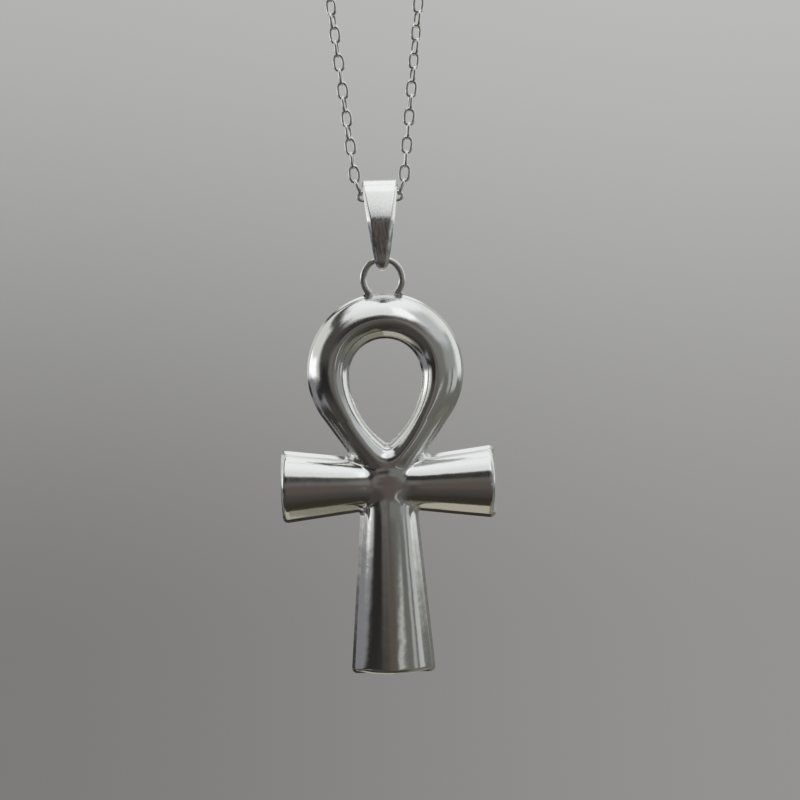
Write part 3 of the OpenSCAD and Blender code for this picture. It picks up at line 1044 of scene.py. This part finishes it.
# One side of the strip's section: share of the bevel in from the side, distance more, depth under the face
HALF_SECTION = [
    (1.1, 0.1, 0.0),
    (1.0, 0.02, 0.005),
    (0.9, 0.0, 0.1 * BEVEL_DEPTH),
    (0.1, 0.0, 0.9 * BEVEL_DEPTH),
    (0.0, 0.01, BEVEL_DEPTH),
    (0.0, 0.0, BEVEL_DEPTH + 0.04),
    (0.0, 0.0, BAIL_T - 0.1),
    (0.0, 0.03, BAIL_T - 0.03),
    (0.0, 0.1, BAIL_T),
]


def bail_profile():
    """The bail's closed side line as [y, height over the upper axis, outward y, outward height] rows."""
    top_reach = BAIL_SWELL_R - BAIL_TOP_R
    low_reach = BAIL_SWELL_R - BAIL_LOW_R
    swell_z = (top_reach**2 - low_reach**2 + BAIL_AXIS_GAP**2) / (2 * BAIL_AXIS_GAP)
    swell_y = math.sqrt(top_reach**2 - swell_z**2)
    top_turn = math.asin(swell_z / top_reach)
    low_turn = math.asin((BAIL_AXIS_GAP - swell_z) / low_reach)
    arcs = [
        # middle y, middle height, radius, from angle, to angle, steps
        (0, 0, BAIL_TOP_R, top_turn, math.pi - top_turn, 2 * BAIL_STEPS),
        (swell_y, -swell_z, BAIL_SWELL_R, math.pi - top_turn, math.pi + low_turn, BAIL_STEPS),
        (0, -BAIL_AXIS_GAP, BAIL_LOW_R, math.pi + low_turn, 2 * math.pi - low_turn, 2 * BAIL_STEPS),
        (-swell_y, -swell_z, BAIL_SWELL_R, -low_turn, top_turn, BAIL_STEPS),
    ]
    rows = []
    for y, z, r, start, end, count in arcs:
        for i in range(count):
            a = start + (end - start) * i / count
            rows.append((y + r * math.cos(a), z + r * math.sin(a), math.cos(a), math.sin(a)))
    return rows


def panel_offset(y, z):
    """How far the strip's outer face stands over the plain strip, in front only."""
    if y > 0:
        return 0.0
    ends = [(-BAIL_AXIS_GAP, 0.0), (PANEL_LOW, PANEL_RISE), (PANEL_TOP, -PANEL_RISE), (BAIL_TOP_R, 0.0)]
    return float(np.interp(z, [end[0] for end in ends], [end[1] for end in ends]))


def bail_width(z):
    """Width of the strip at a height over the upper axis."""
    share = (BAIL_TOP_R - z) / BAIL_H
    return BAIL_TOP_W + (BAIL_LOW_W - BAIL_TOP_W) * share + BAIL_BOW * math.sin(math.pi * share)


def make_bail(material):
    section = [(1, *row) for row in HALF_SECTION] + [(-1, *row) for row in reversed(HALF_SECTION)]
    rows = bail_profile()
    points = []
    for y, z, out_y, out_z in rows:
        width = bail_width(z)
        low = min(max((PANEL_TOP - z) / (PANEL_TOP - PANEL_LOW), 0), 1)
        bevel = BEVEL_TOP_W + (BEVEL_LOW_W - BEVEL_TOP_W) * low
        offset = panel_offset(y, z)
        for side, share, more, depth in section:
            x = side * max(width / 2 - share * bevel - more, LEAST_HALF_W)
            # The inner face stays where it is
            under = depth - offset * (1 - depth / BAIL_T)
            points.append((x, y - out_y * under, z - out_z * under))
    bail = new_object("bail_dressed", points, tube_faces(len(rows), len(section), closed=True))
    face_outward(bail)
    bail.data.transform(Matrix.Translation((0, 0, BAIL_Z)))
    finish_piece("bail_dressed", bail, material, BAIL_SHARP)
    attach(bail, "bail")
    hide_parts("bail")


# The chain, with a thicker wire and wider links than the solids, so that its links meet
LINK_SHOWN_WIRE = 0.4
LINK_BOW = 0.05
LINK_SHOWN_R = (LINK_W - LINK_SHOWN_WIRE) / 2 + LINK_BOW
# How far the middle of the wire passes the joint, so that neighbours hook into each other
LINK_HOOK = 0.12
# A link is an oval that is squarer than an ellipse, whose power would be 1
LINK_POWER = 0.78
LINK_SIDES = 10
LINK_STEPS = 20
CHAIN_SHARP = 60
# The strands are twisted, a steady share of it everywhere and the rest more and less along their way.
# The twist sets in between these two links
TWIST = math.radians(34)
TWIST_TURN = 0.55
TWIST_STEADY = 0.6
TWIST_START = 3
TWIST_FULL = 7


def strand_point(run):
    """A point on the right strand, as x and height over the bail's axis."""
    if run <= STRAIGHT_LENGTH:
        return STRAND_X + run * math.sin(STRAND_TILT), STRAND_Z + run * math.cos(STRAND_TILT)
    top_r = (STRAND_X + STRAIGHT_LENGTH * math.sin(STRAND_TILT)) / math.cos(STRAND_TILT)
    top_z = STRAND_Z + STRAIGHT_LENGTH * math.cos(STRAND_TILT) + top_r * math.sin(STRAND_TILT)
    a = (run - STRAIGHT_LENGTH) / top_r - STRAND_TILT
    return top_r * math.cos(a), top_z + top_r * math.sin(a)


def link_ends(i):
    """The two joints that link i of the right strand lies between."""
    if i <= LEVEL_HALF:
        return ((i - 0.5) * PITCH, 0), ((i + 0.5) * PITCH, 0)
    if i == LEVEL_HALF + 1:
        start_x = CLIMB_X + WIRE_STEP * math.sin(CLIMB_TILT)
        start_z = CLIMB_SHIFT + WIRE_STEP * math.cos(CLIMB_TILT)
        return (start_x, start_z), (STRAND_X, STRAND_Z)
    run = (i - LEVEL_HALF - 2) * PITCH
    return strand_point(run), strand_point(run + PITCH)


def link_twist(i, hand):
    share = TWIST_STEADY + (1 - TWIST_STEADY) * math.sin(TWIST_TURN * i + hand)
    onset = (i - TWIST_START) / (TWIST_FULL - TWIST_START)
    return hand * TWIST * share * min(max(onset, 0), 1)


def signed_power(value, power):
    return math.copysign(abs(value) ** power, value)


def link_rows(i, hand):
    """The line of a link's wire, which reaches a little past both joints so that neighbours meet."""
    start, end = (Vector((hand * x, 0, BAIL_Z + z)) for x, z in link_ends(i))
    along = (end - start).normalized()
    side = Matrix.Rotation(link_twist(i, hand), 3, along) @ Vector((0, 1, 0))
    if i % 2 == 1:
        side = side.cross(along)
    up = along.cross(side)
    half_long = PITCH / 2 + LINK_HOOK
    middle = (start + end) / 2
    rows = []
    for step in range(LINK_STEPS):
        a = 2 * math.pi * (step + 0.5) / LINK_STEPS
        x = signed_power(math.cos(a), LINK_POWER)
        y = signed_power(math.sin(a), LINK_POWER)
        out_x = signed_power(math.cos(a), 2 - LINK_POWER) / half_long
        out_y = signed_power(math.sin(a), 2 - LINK_POWER) / LINK_SHOWN_R
        centre = middle + along * half_long * x + side * LINK_SHOWN_R * y
        rows.append((centre, (along * out_x + side * out_y).normalized(), up))
    return rows


def make_links(name, numbers):
    points = []
    faces = []
    for i, hand in numbers:
        more, more_faces = sweep(link_rows(i, hand), LINK_SIDES, LINK_SHOWN_WIRE / 2, closed=True)
        faces += [tuple(c + len(points) for c in face) for face in more_faces]
        points += more
    links = new_object(name, points, faces)
    face_outward(links)
    return links


def make_chain(material):
    last = LEVEL_HALF + 1 + STRAND_LINKS
    numbers = [(i, 1) for i in range(last + 1)] + [(i, -1) for i in range(1, last + 1)]
    chain = make_links("chain_dressed", [row for row in numbers if row[0] % 2 == 0])
    unite(chain, make_links("odd_links", [row for row in numbers if row[0] % 2 == 1]))
    finish_piece("chain_dressed", chain, material, CHAIN_SHARP)
    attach(chain, "necklace")
    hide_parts("chain_left", "chain_right")


# The whole scene
make_camera()
make_world()
make_floor()
make_light()

bpy.context.scene.view_settings.view_transform = "Standard"
bpy.context.scene.view_settings.look = "None"

ankh_silver = make_silver("Polished silver", POLISHED_TONE, POLISHED_ROUGHNESS, tarnish=True)
# The bail's silver has a painted dark reflection on its lower panel
bail_silver = make_silver("Brushed silver with painted reflection", BRUSHED_TONE, BRUSHED_ROUGHNESS, BRUSHED_WAVE_DEPTH, panel=True)
chain_silver = make_silver("Chain silver", CHAIN_TONE, CHAIN_ROUGHNESS)

make_ankh(ankh_silver)
make_bail(bail_silver)
make_chain(chain_silver)

for node in ("clasp", "jump_ring_left", "jump_ring_right"):
    for material_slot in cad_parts[node].material_slots:
        material_slot.material = chain_silver
